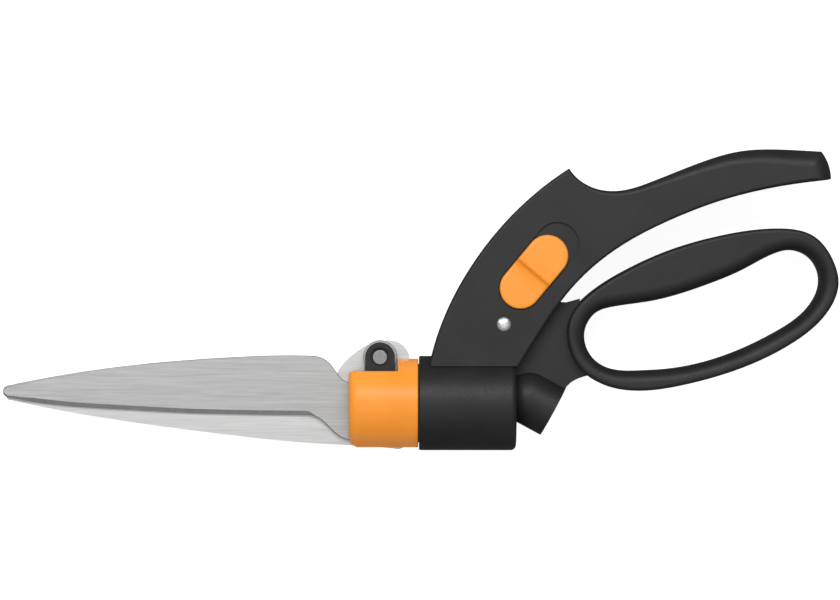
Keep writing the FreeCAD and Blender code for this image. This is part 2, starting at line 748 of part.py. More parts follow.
def lock_slide():
    """The thumb slide, with a ridge across its middle and the stem that carries the bolt."""
    body = new_body("lock_slide")
    angle = size("slide_angle")
    bottom = half_handle - size("slide_recess") + 0.1
    thickness = size("slide_height") + size("slide_recess") - 0.1
    place_at = {"x": slide_centre.x, "y": slide_centre.y, "angle": angle}
    sketch = new_sketch(body, z=bottom, **place_at)
    obround(sketch, size("slide_length"), size("slide_width"))
    pad(body, sketch, thickness, middle=False)
    top = number(bottom) + number(thickness)
    fillet(body, lambda middle, edge: middle.z > top - 0.01, 0.9)
    stem = circle(new_sketch(body, z=half_plate + 0.4, **place_at), size("stem_width") / 2)
    pad(body, stem, bottom - half_plate, middle=False)
    return body


def lock_bolt():
    """The bolt behind the cheek, which the slide carries into the notch of the lever's hub."""
    body = new_body("lock_bolt")
    tip = along_slide(-number(size("bolt_tip")))
    side = size("bolt_width") / 2
    sketch = new_sketch(body, x=tip.x, y=tip.y, angle=size("slide_angle"))
    length = size("bolt_length")
    polygon(sketch, [(0, -side), (length, -side), (length, side), (0, side)])
    pad(body, sketch, size("plate_thickness") - 0.4)
    return body


def lock_spring():
    """A bowed leaf beside the bolt that holds the slide at either end of its travel."""
    body = new_body("lock_spring")
    start = along_slide(-number(size("bolt_tip")))
    sketch = new_sketch(body, x=start.x, y=start.y, angle=size("slide_angle"))
    near = number(size("bolt_width")) / 2 + number(size("slide_gap"))
    first, last, leaf = 5.0, 17.0, 0.4
    middle = (first + last) / 2
    upper = [(first, near + 1.9), (middle, near + 0.6 + leaf), (last, near + 1.9)]
    lower = [(last, near + 1.9 - leaf), (middle, near + 0.6), (first, near + 1.9 - leaf)]
    outline(sketch, [upper, [upper[-1], lower[0]], lower, [lower[-1], upper[0]]])
    pad(body, sketch, 6)
    return body


# ---------------------------------------------------------------- blade head


def head_core():
    """The fork that carries the blades, with the spigot that turns in the sleeve."""
    body = new_body("head_core")
    neck = size("neck_radius")
    turned(
        body,
        [
            (core_front, 0),
            (neck_end, 0),
            (neck_end, neck),
            (bearing_end, neck),
            (bearing_end, core_radius),
            (core_front, core_radius),
        ],
    )
    notch_x = -size("notch_back")
    above = size("pivot_height") + size("ear_radius") + 20
    pocket(body, box_sketch(body, core_front - 1, notch_x, size("notch_height"), above), WHOLE)
    x, y = number(pivot_x), number(pivot_y)
    ear = arc_points(x, y, number(size("ear_radius")), 0, 180)
    sketch = new_sketch(body)
    outline(sketch, [ear, [ear[2], (ear[2][0], 6)], [(ear[2][0], 6), (ear[0][0], 6)],
                     [(ear[0][0], 6), ear[0]]])
    pad(body, sketch, size("fork_width"))
    blade_slot = box_sketch(body, core_front - 1, bore_front, -core_radius - 5, above,
                            z=-blade_face - SLIVER)
    pocket(body, blade_slot, blade_face + ear_inner + SLIVER, middle=False, reverse=True)
    half = size("clevis_half") + CLEVIS_ROOM
    cavity = box_sketch(body, SLOT_END_X - half, bore_front + 1, -half + CLEVIS_Y, half + CLEVIS_Y)
    pocket(body, cavity, (tine_outer + 0.4) * 2)
    bore = size("spring_bore")
    turned(body, [(bore_front, 0), (spring_seat, 0), (spring_seat, bore), (bore_front, bore)], cut=True)
    rod_hole = size("rod_radius") + size("pin_gap") * 2
    turned(body, [(0, 0), (neck_end + 1, 0), (neck_end + 1, rod_hole), (0, rod_hole)], cut=True)
    groove = [shoulder_end + 0.1, shoulder_end + 1.2]
    floor = neck - 0.9
    turned(
        body,
        [(groove[0], floor), (groove[1], floor), (groove[1], neck + 1), (groove[0], neck + 1)],
        cut=True,
    )
    hole(body, pivot_x, pivot_y, size("pivot_radius") + SLIVER, WHOLE)
    for side in (1, -1):
        radius, depth = size("counterbore_radius"), size("counterbore_depth")
        hole(body, pivot_x, pivot_y, radius, depth, half_fork * side, middle=False, reverse=side < 0)
    for pin_x, pin_y in pin_places():
        hole(body, pin_x, pin_y, size("blade_pin_radius") + SLIVER, WHOLE)
    return body


def pin_places():
    """The two pins that hold the fixed blade in the fork, below the drive."""
    return [(number(blade_back) - 6.5, -11.6), (number(blade_back) - 16.0, -PIN_DROP)]


def pin_half():
    """Half the pins' length, which ends just inside the collar's bore."""
    low = PIN_DROP + number(size("blade_pin_radius"))
    return math.sqrt((number(core_radius) - PIN_END_ROOM) ** 2 - low**2)


def head_collar():
    """The coloured collar around the fork, notched above for the ears and slotted for the blades."""
    body = new_body("head_collar")
    front, back = -size("collar_length"), -size("head_gap")
    wall = front + size("collar_front_wall")
    inner = core_radius + SLIVER
    turned(
        body,
        [
            (front, 0),
            (wall, 0),
            (wall, inner),
            (back, inner),
            (back, collar_radius),
            (front, collar_radius),
        ],
    )
    fillet(body, at_radius(collar_radius, front), size("collar_round"))
    chamfer(body, at_radius(collar_radius, back), 0.3)
    above = collar_radius + 5
    notch = box_sketch(body, front - 1, -size("notch_back"), size("notch_height"), above)
    pocket(body, notch, WHOLE)
    fillet(body, at_notch_front, size("notch_round"))
    half_slot = ear_inner + SLIVER
    pocket(body, box_sketch(body, front - 1, wall + 1, -above, above), half_slot * 2)
    for slot_front, low, high in (
        (front - 1, -above, -size("notch_height")),
        (-size("notch_back") - 1, size("notch_height"), above),
    ):
        slot = box_sketch(body, slot_front, blade_back + 0.4, low, high, z=-blade_face - 0.2)
        pocket(body, slot, size("blade_thickness") + 0.5, middle=False, reverse=True)
    return body


def at_notch_front(middle, edge):
    """Tests for the straight edges between the notch's floor and the collar's front face."""
    on_front = abs(middle.x + number(size("collar_length"))) < SLIVER
    return on_front and abs(middle.y - number(size("notch_height"))) < SLIVER


def blade_sketch(body, stretches, z):
    sketch = new_sketch(body, z=z)
    outline(sketch, stretches)
    pad(body, sketch, size("blade_thickness"), middle=False)


def fixed_blade():
    """The lower blade, pinned in the fork, with an open slot for the clevis and the drive pin."""
    body = new_body("fixed_blade")
    tip = -number(size("blade_reach"))
    back = float(blade_back)
    half = number(size("clevis_half")) + 0.5
    spine = [(tip + 2.0, 1.4), (tip + 22.8, -2.9), (tip + 56.6, -8.4), (-74.5, -14.0)]
    spine += [(-45.6, -16.8), (-21.1, -18.2), (-10.4, -19.1)]
    heel = [(-10.4, -19.1), (-7.0, -18.9), (back - 1.0, -17.0)]
    slot = arc_points(SLOT_END_X - 0.8, CLEVIS_Y, half, 270, 90)
    lobe = [(back, 19.6), (-5.8, 23.2), (-9.0, 25.6), (-15.2, 26.1), (-20.5, 24.8), (-27.2, 20.8)]
    lobe += [(-32.8, 15.2), (-34.4, 12.6)]
    throat = [(-34.4, 12.6), (-37.5, 7.6), (-44.0, 3.2)]
    edge = [(-44.0, 3.2), (-80.0, 4.3), (tip + 40.0, 5.2), (tip + 3.0, 5.4)]
    nose = [(tip + 3.0, 5.4), (tip + 1.2, 3.6), (tip + 2.0, 1.4)]
    corners = [heel[-1], (back, -13.0), (back, CLEVIS_Y - half), slot[0]]
    lines = [list(pair) for pair in zip(corners, corners[1:])]
    lines += [slot, [slot[-1], (back, CLEVIS_Y + half)], [(back, CLEVIS_Y + half), lobe[0]]]
    blade_sketch(body, [spine, heel] + lines + [lobe, throat, edge, nose], -blade_face)
    hole(body, pivot_x, pivot_y, size("pivot_radius") + SLIVER, WHOLE)
    for pin_x, pin_y in pin_places():
        hole(body, pin_x, pin_y, size("blade_pin_radius") + SLIVER, WHOLE)
    return body


def moving_blade():
    """The upper blade, with its pivot lobe between the fork's ears and its drive eye on the axis."""
    body = new_body("moving_blade")
    tip = -number(size("blade_reach"))
    pivot = (number(pivot_x), number(pivot_y))
    lobe, eye = number(size("lobe_radius")), number(size("eye_radius"))
    edge = [(tip + 2.9, 2.3), (tip + 14.0, 0.3), (-127.5, -2.5), (-93.9, -4.2), (-60.3, -4.9)]
    edge.append((-45.6, -5.1))
    heel = [(-45.6, -5.1), (-41.3, -7.0), (-37.6, -10.4), (-33.6, -13.9), (-28.0, -15.6)]
    spine = [(-29.2, 8.6), (-33.8, 11.7), (-37.0, 16.2), (-41.3, 19.2), (-46.5, 19.9)]
    spine += [(-60.0, 19.95), (-89.0, 18.6), (-117.9, 16.2), (tip + 27.7, 12.3), (tip + 1.9, 7.4)]
    nose = [(tip + 1.9, 7.4), (tip, 4.7), (tip + 2.9, 2.3)]
    pivot_lobe = arc_points(pivot[0], pivot[1], lobe, -10, 190)
    drive_eye = arc_points(DRIVE_X, DRIVE_Y, eye, -100, 10)
    waist = [drive_eye[-1], (drive_eye[-1][0] - 2.2, (DRIVE_Y + pivot[1]) / 2), pivot_lobe[0]]
    shoulder = [pivot_lobe[-1], (pivot_lobe[-1][0] - 1.0, 11.5), (-29.2, 8.6)]
    blade_sketch(
        body,
        [edge, heel, [heel[-1], drive_eye[0]], drive_eye, waist, pivot_lobe, shoulder, spine, nose],
        half_gap,
    )
    hole(body, pivot_x, pivot_y, size("pivot_radius") + size("pin_gap"), WHOLE)
    hole(body, DRIVE_X, DRIVE_Y, size("drive_radius") + SLIVER, WHOLE)
    return body


def drive_pin():
    """The pin in the moving blade's eye that the clevis pushes."""
    body = new_body("drive_pin", DRIVE_X, DRIVE_Y)
    pad(body, circle(new_sketch(body), size("drive_radius")), (tine_outer - 0.1) * 2)
    return body


def fixed_blade_pins():
    """The two pins through the fork and the fixed blade."""
    body = new_body("fixed_blade_pins")
    sketch = new_sketch(body)
    for pin_x, pin_y in pin_places():
        radius = number(size("blade_pin_radius"))
        sketch.addGeometry(Part.Circle(Vector(pin_x, pin_y, 0), Vector(0, 0, 1), radius), False)
    pad(body, sketch, 2 * pin_half())
    return body


def pivot_barrel():
    """The barrel that the blades turn on, drilled from behind for its screw."""
    body = new_body("pivot_barrel", pivot_x, pivot_y)
    low = -counterbore_floor
    high = half_fork - 0.7
    sketch = circle(new_sketch(body, z=low), size("pivot_radius"))
    pad(body, sketch, high - low, middle=False)
    fillet(body, lambda middle, edge: middle.z > number(high) - 0.01 and at_pin(edge), 0.3)
    hole(body, 0, 0, 1.55, 9.0, low, middle=False, reverse=True)
    return body


def at_pin(edge):
    return edge.BoundBox.ZLength < 0.01


def pivot_screw():
    """The screw that closes the fork from behind, with a hexagonal recess."""
    body = new_body("pivot_screw", pivot_x, pivot_y)
    seat = -counterbore_floor - SLIVER
    pad(body, circle(new_sketch(body, z=seat), size("counterbore_radius") - 0.1), 1.3,
        middle=False, reverse=True)
    pad(body, circle(new_sketch(body, z=seat), 1.5), 8.5, middle=False)
    sketch = new_sketch(body, z=seat - 1.3)
    flats = [(1.5 * math.cos(math.radians(60 * step)), 1.5 * math.sin(math.radians(60 * step)))
             for step in range(6)]
    pocket(body, polygon(sketch, flats), 1.0, middle=False, reverse=True)
    return body


def blade_washer():
    """The spring washer between the moving blade and the front ear."""
    body = new_body("blade_washer", pivot_x, pivot_y)
    sketch = circle(new_sketch(body, z=blade_face + SLIVER), size("pivot_radius") + 2.4)
    pad(body, sketch, size("washer_thickness"), middle=False)
    hole(body, 0, 0, size("pivot_radius") + SLIVER, WHOLE)
    return body


def retaining_clip():
    """The open ring behind the sleeve's shoulder that keeps the head in the sleeve."""
    start = shoulder_end + 0.15
    body = ring("retaining_clip", size("neck_radius") - 0.85, size("neck_radius") + 2.4, start, 1.0)
    gap = box_sketch(body, start - 1, start + 2, -30, 0)
    pocket(body, gap, 9.0)
    return body


def wave_washer():
    """The washer ahead of the shoulder that keeps the head from rattling."""
    start = bearing_end + SLIVER
    inner = size("neck_radius") + SLIVER
    return ring("wave_washer", inner, bearing_radius - 0.3, start, size("washer_thickness") - 0.05)


# ---------------------------------------------------------------- rod


def rod_clevis():
    """The fork on the rod's front end, with upright slots for the drive pin."""
    body = new_body("rod_clevis")
    half = size("clevis_half")
    block = box_sketch(body, clevis_front, base_back, -half + CLEVIS_Y, half + CLEVIS_Y)
    pad(body, block, tine_outer * 2)
    gap = box_sketch(body, clevis_front - 1, base_front, -half - 1 + CLEVIS_Y, half + 1 + CLEVIS_Y)
    pocket(body, gap, tine_inner * 2)
    width = number(size("drive_radius")) * 2 + 0.16
    slot = new_sketch(body, x=DRIVE_X, y=CLEVIS_Y, angle=90)
    obround(slot, width + DRIVE_RISE + 0.3, width)
    pocket(body, slot, WHOLE)
    rod = size("rod_radius") + SLIVER
    start = base_back - 4
    turned(body, [(start, 0), (base_back + 1, 0), (base_back + 1, rod), (start, rod)], cut=True)
    return body


def pull_rod():
    """The rod along the swivel axis, from the clevis to the ball."""
    body = new_body("pull_rod")
    sketch = circle(new_sketch(body, "YZ_Plane", z=base_back - 3.9), size("rod_radius"))
    pad(body, sketch, size("ball_back") + 5.0 - base_back + 3.9, middle=False)
    return body


def spring_flange():
    inner = size("rod_radius") + SLIVER
    return ring("spring_flange", inner, size("spring_radius"), flange_front, size("flange_thickness"))


def swivel_ball():
    """The ball that lets the head turn in the lever's cup, counterbored for the rod's nut."""
    body = new_body("swivel_ball", size("ball_back"))
    radius = number(size("ball_radius"))
    half_round = arc_points(0, 0, radius, 180, 0)
    turn(body, outline(new_sketch(body), [half_round, [half_round[2], half_round[0]]]))
    rod = size("rod_radius") + SLIVER
    turned(body, [(-20, 0), (20, 0), (20, rod), (-20, rod)], cut=True)
    nut = size("rod_radius") + 1.7
    turned(body, [(2.4, 0), (20, 0), (20, nut), (2.4, nut)], cut=True)
    return body


def rod_nut():
    """The nut that holds the ball on the rod."""
    start = size("ball_back") + 2.45
    return ring("rod_nut", size("rod_radius") + SLIVER, size("rod_radius") + 1.6, start, 2.4)


def return_spring():
    """The spring between the flange on the rod and the rear wall of the core, which opens the blades."""
    wire = number(size("spring_wire"))
    start = flange_front + number(size("flange_thickness")) + wire + 0.1
    length = number(spring_seat) - wire - 0.1 - start
    helix = doc.addObject("Part::Helix", "SpringPath")
    bind(helix, "Radius", size("spring_radius") - size("spring_wire"))
    bind(helix, "Pitch", Size(length, repr(length)) / size("spring_coils"))
    helix.Height = length
    helix.SegmentLength = 1
    section = doc.addObject("Part::Circle", "SpringWire")
    bind(section, "Radius", size("spring_wire"))
    radius = number(size("spring_radius")) - wire
    section.Placement = Placement(Vector(radius, 0, 0), Rotation(Vector(1, 0, 0), 90))
    sweep = doc.addObject("Part::Sweep", "return_spring")
    sweep.Label = "return_spring"
    sweep.Sections = [section]
    sweep.Spine = (helix, [])
    sweep.Solid = True
    sweep.Frenet = True
    sweep.Placement = Placement(Vector(start, 0, 0), Rotation(Vector(0, 1, 0), 90))
    place(sweep, start)
    return sweep


# ---------------------------------------------------------------- the whole model

MAKERS = [
    upper_handle,
    handle_rivet,
    rivet_washer,
    lower_handle,
    lever_bush,
    lock_slide,
    lock_bolt,
    lock_spring,
    head_core,
    head_collar,
    fixed_blade,
    fixed_blade_pins,
    pivot_barrel,
    pivot_screw,
    blade_washer,
    retaining_clip,
    wave_washer,
    rod_clevis,
    pull_rod,
    spring_flange,
    swivel_ball,
    rod_nut,
    return_spring,
    moving_blade,
    drive_pin,
]


def check_model(parts):
    """Stops if any object failed, or if a sub-part isn't sound."""
    failed = [thing.Label for thing in doc.Objects if {"Invalid", "Error"} & set(thing.State)]
    if failed:
        raise RuntimeError("failed: " + ", ".join(failed))
    for part in parts:
        shape = part.Shape
        if shape.isNull() or not shape.isValid() or shape.Volume <= 0 or not shape.Solids:
            raise RuntimeError("%s isn't a sound solid" % part.Label)


parts = [maker() for maker in MAKERS]
doc.recompute()
check_model(parts)

whole = FreeCAD.BoundBox()
for part in parts:
    whole.add(part.Shape.optimalBoundingBox(False, False))
for axis, shift in zip("xyz", (-whole.Center.x, -whole.Center.y, -whole.ZMin)):
    datum_sheet.set("shift_" + axis, "%.4f" % shift)
doc.recompute()
check_model(parts)

os.makedirs("parts", exist_ok=True)
for part in parts:
    part.Shape.exportStep("parts/%s.step" % part.Label)
    box = part.Shape.BoundBox
    print("%-18s %9.1f mm3  x %7.1f..%7.1f  y %6.1f..%6.1f  z %6.1f..%6.1f" % (
        part.Label, part.Shape.Volume, box.XMin, box.XMax, box.YMin, box.YMax, box.ZMin, box.ZMax))
print("offset", [datum_sheet.get("shift_" + axis) for axis in "xyz"])
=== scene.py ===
"""Looks of the swivel-head grass shears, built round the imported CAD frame. Lengths in metres."""

import json
import math

import bmesh
import bpy
from mathutils import Matrix, Vector


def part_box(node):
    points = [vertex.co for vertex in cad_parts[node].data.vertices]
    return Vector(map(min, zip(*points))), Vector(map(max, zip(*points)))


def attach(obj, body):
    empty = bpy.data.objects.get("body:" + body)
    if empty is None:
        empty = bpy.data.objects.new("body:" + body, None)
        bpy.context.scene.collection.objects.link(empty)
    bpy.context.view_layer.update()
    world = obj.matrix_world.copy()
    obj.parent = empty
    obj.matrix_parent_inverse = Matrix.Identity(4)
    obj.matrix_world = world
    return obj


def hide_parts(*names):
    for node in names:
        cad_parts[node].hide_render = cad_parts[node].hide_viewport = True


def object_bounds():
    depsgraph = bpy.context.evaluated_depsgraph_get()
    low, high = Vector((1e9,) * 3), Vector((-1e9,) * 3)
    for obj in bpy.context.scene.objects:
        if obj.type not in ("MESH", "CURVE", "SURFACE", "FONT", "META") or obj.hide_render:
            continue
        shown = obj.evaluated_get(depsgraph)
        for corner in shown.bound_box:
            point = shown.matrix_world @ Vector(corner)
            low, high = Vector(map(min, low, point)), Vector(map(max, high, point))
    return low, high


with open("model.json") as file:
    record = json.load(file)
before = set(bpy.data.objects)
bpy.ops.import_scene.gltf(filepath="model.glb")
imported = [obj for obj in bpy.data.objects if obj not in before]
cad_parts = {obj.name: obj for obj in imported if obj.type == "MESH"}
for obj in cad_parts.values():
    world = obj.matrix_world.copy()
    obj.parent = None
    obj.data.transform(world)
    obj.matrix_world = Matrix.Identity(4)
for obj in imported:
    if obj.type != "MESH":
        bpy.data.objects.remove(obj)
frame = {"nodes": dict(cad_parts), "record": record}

cad_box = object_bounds()
MM = 0.001
NOISE_RANGE = (0.35, 0.65)
NODES = frame["nodes"]


# ---------------------------------------------------------------- materials


class Shader:
    """A node material under construction, with short calls for the nodes used here."""

    def __init__(self, name):
        self.material = bpy.data.materials.new(name)
        self.material.use_nodes = True
        self.tree = self.material.node_tree
        self.bsdf = self.tree.nodes["Principled BSDF"]
        self.coords = self.tree.nodes.new("ShaderNodeTexCoord").outputs["Object"]

    def link(self, source, target):
        self.tree.links.new(source, target)

    def set(self, **sockets):
        for name, value in sockets.items():
            self.bsdf.inputs[name.replace("_", " ")].default_value = value

    def scaled(self, scale):
        """The object coordinates, stretched."""
        node = self.tree.nodes.new("ShaderNodeMapping")
        node.inputs["Scale"].default_value = scale
        self.link(self.coords, node.inputs["Vector"])
        return node.outputs["Vector"]

    def noise(self, scale, detail=2.0, roughness=0.5, vector=None):
        node = self.tree.nodes.new("ShaderNodeTexNoise")
        node.inputs["Scale"].default_value = scale
        node.inputs["Detail"].default_value = detail
        node.inputs["Roughness"].default_value = roughness
        self.link(vector or self.coords, node.inputs["Vector"])
        return node.outputs["Fac"]

    def spread(self, value, low, high):
        """A noise value mapped from its usual range to low..high."""
        node = self.tree.nodes.new("ShaderNodeMapRange")
        for name, number in zip(("From Min", "From Max", "To Min", "To Max"), (*NOISE_RANGE, low, high)):
            node.inputs[name].default_value = number
        self.link(value, node.inputs["Value"])
        return node.outputs["Result"]

    def ramp(self, value, stops):
        node = self.tree.nodes.new("ShaderNodeValToRGB")
        elements = node.color_ramp.elements
        while len(elements) < len(stops):
            elements.new(0.5)
        for element, (place, colour) in zip(elements, stops):
            element.position = place
            element.color = (*colour, 1.0)
        self.link(value, node.inputs["Fac"])
        return node.outputs["Color"]

    def mix(self, factor, first, second):
        node = self.tree.nodes.new("ShaderNodeMix")
        node.data_type = "RGBA"
        self.link(factor, node.inputs["Factor"])
        self.link(first, node.inputs["A"])
        self.link(second, node.inputs["B"])
        return node.outputs["Result"]

    def bump(self, height, strength, distance, after=None):
        node = self.tree.nodes.new("ShaderNodeBump")
        node.inputs["Strength"].default_value = strength
        node.inputs["Distance"].default_value = distance
        self.link(height, node.inputs["Height"])
        if after is not None:
            self.link(after, node.inputs["Normal"])
        return node.outputs["Normal"]


def black_plastic():
    """Glass-filled nylon with a fine spark-eroded texture."""
    shader = Shader("black_plastic")
    grain = shader.noise(2200, 3, 0.6)
    flecks = shader.noise(5200, 2)
    cloud = shader.noise(70, 4)
    shader.link(
        shader.ramp(cloud, [(0.3, (0.0140, 0.0140, 0.0144)), (0.7, (0.0190, 0.0190, 0.0194))]),
        shader.bsdf.inputs["Base Color"],
    )
    shader.set(Specular_IOR_Level=0.27)
    shader.link(shader.spread(grain, 0.40, 0.58), shader.bsdf.inputs["Roughness"])
    coarse = shader.bump(grain, 0.5, 0.05 * MM)
    shader.link(shader.bump(flecks, 0.3, 0.02 * MM, coarse), shader.bsdf.inputs["Normal"])
    return shader.material


def orange_plastic():
    """Smooth satin moulding with a faint flow pattern."""
    shader = Shader("orange_plastic")
    cloud = shader.noise(60, 3)
    shader.link(
        shader.ramp(cloud, [(0.3, (0.94, 0.305, 0.026)), (0.7, (0.98, 0.335, 0.034))]),
        shader.bsdf.inputs["Base Color"],
    )
    shader.set(Specular_IOR_Level=0.34)
    grain = shader.noise(3200, 2)
    shader.link(shader.spread(grain, 0.36, 0.48), shader.bsdf.inputs["Roughness"])
    shader.link(shader.bump(grain, 0.12, 0.03 * MM), shader.bsdf.inputs["Normal"])
    return shader.material


def brushed_steel(name, light, dark, stretch=(45, 5200, 5200)):
    """Steel brushed along X: fine lines, with broader streaks of tone among them."""
    shader = Shader(name)
    lines = shader.noise(1.0, 4, 0.62, shader.scaled(stretch))
    streaks = shader.noise(1.0, 4, 0.6, shader.scaled((55, 2300, 2300)))
    fine = shader.ramp(lines, [(0.3, dark), (0.7, light)])
    broad = shader.ramp(streaks, [(0.38, dark), (0.62, light)])
    mixed = shader.mix(shader.noise(25, 2), fine, broad)
    shader.link(mixed, shader.bsdf.inputs["Base Color"])
    shader.set(Metallic=1.0)
    shader.link(shader.spread(lines, 0.34, 0.50), shader.bsdf.inputs["Roughness"])
    shader.link(shader.bump(lines, 0.25, 0.02 * MM), shader.bsdf.inputs["Normal"])
    return shader.material


def plain_steel(name, colour, roughness):
    """Turned or plated steel with fine scratches."""
    shader = Shader(name)
    marks = shader.noise(900, 4)
    dark = tuple(channel * 0.85 for channel in colour)
    shader.link(shader.ramp(marks, [(0.3, dark), (0.7, colour)]), shader.bsdf.inputs["Base Color"])
    shader.set(Metallic=1.0)
    shader.link(shader.spread(marks, roughness * 0.8, roughness * 1.25), shader.bsdf.inputs["Roughness"])
    shader.link(shader.bump(marks, 0.1, 0.02 * MM), shader.bsdf.inputs["Normal"])
    return shader.material


MATERIALS = {
    "black_plastic": black_plastic(),
    "orange_plastic": orange_plastic(),
    "blade_steel": brushed_steel("blade_steel", (0.445, 0.445, 0.443), (0.315, 0.315, 0.313)),
    "back_steel": brushed_steel("back_steel", (0.555, 0.555, 0.552), (0.435, 0.435, 0.432)),
    "ground_steel": brushed_steel("ground_steel", (0.95, 0.95, 0.95), (0.84, 0.84, 0.84), (5200, 60, 60)),
    "bright_steel": plain_steel("bright_steel", (0.76, 0.76, 0.76), 0.24),
    "pin_steel": plain_steel("pin_steel", (0.25, 0.25, 0.25), 0.4),
    "zinc_steel": plain_steel("zinc_steel", (0.62, 0.63, 0.66), 0.32),
}


def paint(thing, slot):
    thing.data.materials.clear()
    thing.data.materials.append(MATERIALS[slot])


for part in frame["record"]["subparts"]:
    paint(NODES[part["node"]], part["material_slot"])


# ---------------------------------------------------------------- pieces in mesh code


def add_piece(name, points, faces, body, materials, sharp, indices=None):
    """A mesh piece that rides on a body, smooth but for edges sharper than an angle in degrees."""
    mesh = bpy.data.meshes.new(name)
    mesh.from_pydata([tuple(point) for point in points], [], faces)
    for material in materials:
        mesh.materials.append(MATERIALS[material])
    if indices:
        mesh.polygons.foreach_set("material_index", indices)
    mesh.polygons.foreach_set("use_smooth", [True] * len(mesh.polygons))
    mesh.set_sharp_from_angle(angle=math.radians(sharp))
    mesh.update()
    piece = bpy.data.objects.new(name, mesh)
    bpy.context.collection.objects.link(piece)
    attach(piece, body)
    return piece


def flat_outlines(node, height):
    """Closed outlines of a CAD node's flat face at a height, the longest first, as lists of (x, y)."""
    mesh = bmesh.new()
    mesh.from_mesh(NODES[node].data)
    bmesh.ops.remove_doubles(mesh, verts=mesh.verts, dist=1e-6)
    level = [face for face in mesh.faces if all(abs(v.co.z - height) < 2e-6 for v in face.verts)]
    inside = set(level)
    onward = {}
    for face in level:
        for loop in face.loops:
            if sum(other in inside for other in loop.edge.link_faces) == 1:
                onward[loop.vert] = loop.link_loop_next.vert
    outlines = []
    while onward:
        first = next(iter(onward))
        points, vert = [], first
        while vert in onward:
            points.append((vert.co.x, vert.co.y))
            vert = onward.pop(vert)
        outlines.append(points)
    mesh.free()
    return sorted(outlines, key=len_around, reverse=True)


def len_around(points):
    return sum(math.dist(a, b) for a, b in zip(points, points[1:] + points[:1]))


def area_of(points):
    return sum(a[0] * b[1] - b[0] * a[1] for a, b in zip(points, points[1:] + points[:1])) / 2


def spaced(points, step):
    """The outline with points at most a step apart and none closer than a third of it, corners kept."""
    kept = [points[0]]
    for index in range(1, len(points)):
        here, after = points[index], points[(index + 1) % len(points)]
        before = kept[-1]
        turn = angle_between(before, here, after)
        if math.dist(before, here) > step / 3 or turn > math.radians(12):
            kept.append(here)
    full = []
    for here, after in zip(kept, kept[1:] + kept[:1]):
        parts = max(1, math.ceil(math.dist(here, after) / step))
        for part in range(parts):
            share = part / parts
            full.append((here[0] + (after[0] - here[0]) * share, here[1] + (after[1] - here[1]) * share))
    return full


def angle_between(before, here, after):
    """How far the outline turns at a point."""
    first = math.atan2(here[1] - before[1], here[0] - before[0])
    second = math.atan2(after[1] - here[1], after[0] - here[0])
    return abs(math.remainder(second - first, math.tau))


def inward(points):
    """The mitred inward normal at each point of an outline that runs anticlockwise."""
    count = len(points)
    normals = []
    for index in range(count):
        before, here, after = points[index - 1], points[index], points[(index + 1) % count]
        sides = []
        for first, second in ((before, here), (here, after)):
            run = Vector((second[0] - first[0], second[1] - first[1]))
            sides.append(Vector((-run.y, run.x)).normalized())
        normal = (sides[0] + sides[1]).normalized()
        normals.append(normal / max(0.5, normal.dot(sides[0])))
    return normals


def smooth_step(value, low, high):
    share = min(1.0, max(0.0, (value - low) / (high - low)))
    return share * share * (3 - 2 * share)


def bevelled_plate(name, node, body, materials, bevel, front=True):
    """A plate with a CAD node's outline and holes, whose front edge is cut back by bevel(x, y, normal).

    bevel gives the width, the depth and whether the cut is ground. The cut is on the upper side, or on
    the lower one for front=False. The first material is the plate's, the second the ground bevel's.
    """
    low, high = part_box(node)
    cut_side, far_side = (high.z, low.z) if front else (low.z, high.z)
    down = -1 if front else 1
    outer, *holes = flat_outlines(node, high.z)
    outer = spaced(outer, 1.2 * MM)
    if area_of(outer) < 0:
        outer.reverse()
    points, faces, kinds = [], [], []

    def ring(places):
        first = len(points)
        points.extend(places)
        return list(range(first, first + len(places)))

    def wall(lower, upper, ground):
        count = len(lower)
        for index in range(count):
            after = (index + 1) % count
            faces.append((lower[index], lower[after], upper[after], upper[index]))
            kinds.append(1 if ground[index] and ground[after] else 0)

    normals = inward(outer)
    cuts = [bevel(x, y, normal) for (x, y), normal in zip(outer, normals)]
    edge = ring([(x, y, far_side) for x, y in outer])
    lip = ring([(x, y, cut_side + down * cut[1]) for (x, y), cut in zip(outer, cuts)])
    land = ring([
        (x + normal.x * cut[0], y + normal.y * cut[0], cut_side)
        for (x, y), normal, cut in zip(outer, normals, cuts)
    ])
    wall(edge, lip, [False] * len(outer))
    wall(lip, land, [cut[2] for cut in cuts])
    rims = [(edge, land)]
    for hole in holes:
        far = ring([(x, y, far_side) for x, y in hole])
        near = ring([(x, y, cut_side) for x, y in hole])
        wall(far, near, [False] * len(hole))
        rims.append((far, near))
    for side in (0, 1):
        patch = bmesh.new()
        marks = {}
        for rim in rims:
            verts = [patch.verts.new(points[index]) for index in rim[side]]
            marks.update(zip(verts, rim[side]))
            for first, second in zip(verts, verts[1:] + verts[:1]):
                patch.edges.new((first, second))
        bmesh.ops.triangle_fill(patch, edges=patch.edges[:], use_beauty=True, use_dissolve=False)
        for face in patch.faces:
            faces.append(tuple(marks[vert] for vert in face.verts))
            kinds.append(0)
        patch.free()
    piece = add_piece(name, points, faces, body, materials, 12, kinds)
    tidy = bmesh.new()
    tidy.from_mesh(piece.data)
    bmesh.ops.recalc_face_normals(tidy, faces=tidy.faces)
    tidy.to_mesh(piece.data)
    tidy.free()
    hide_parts(node)


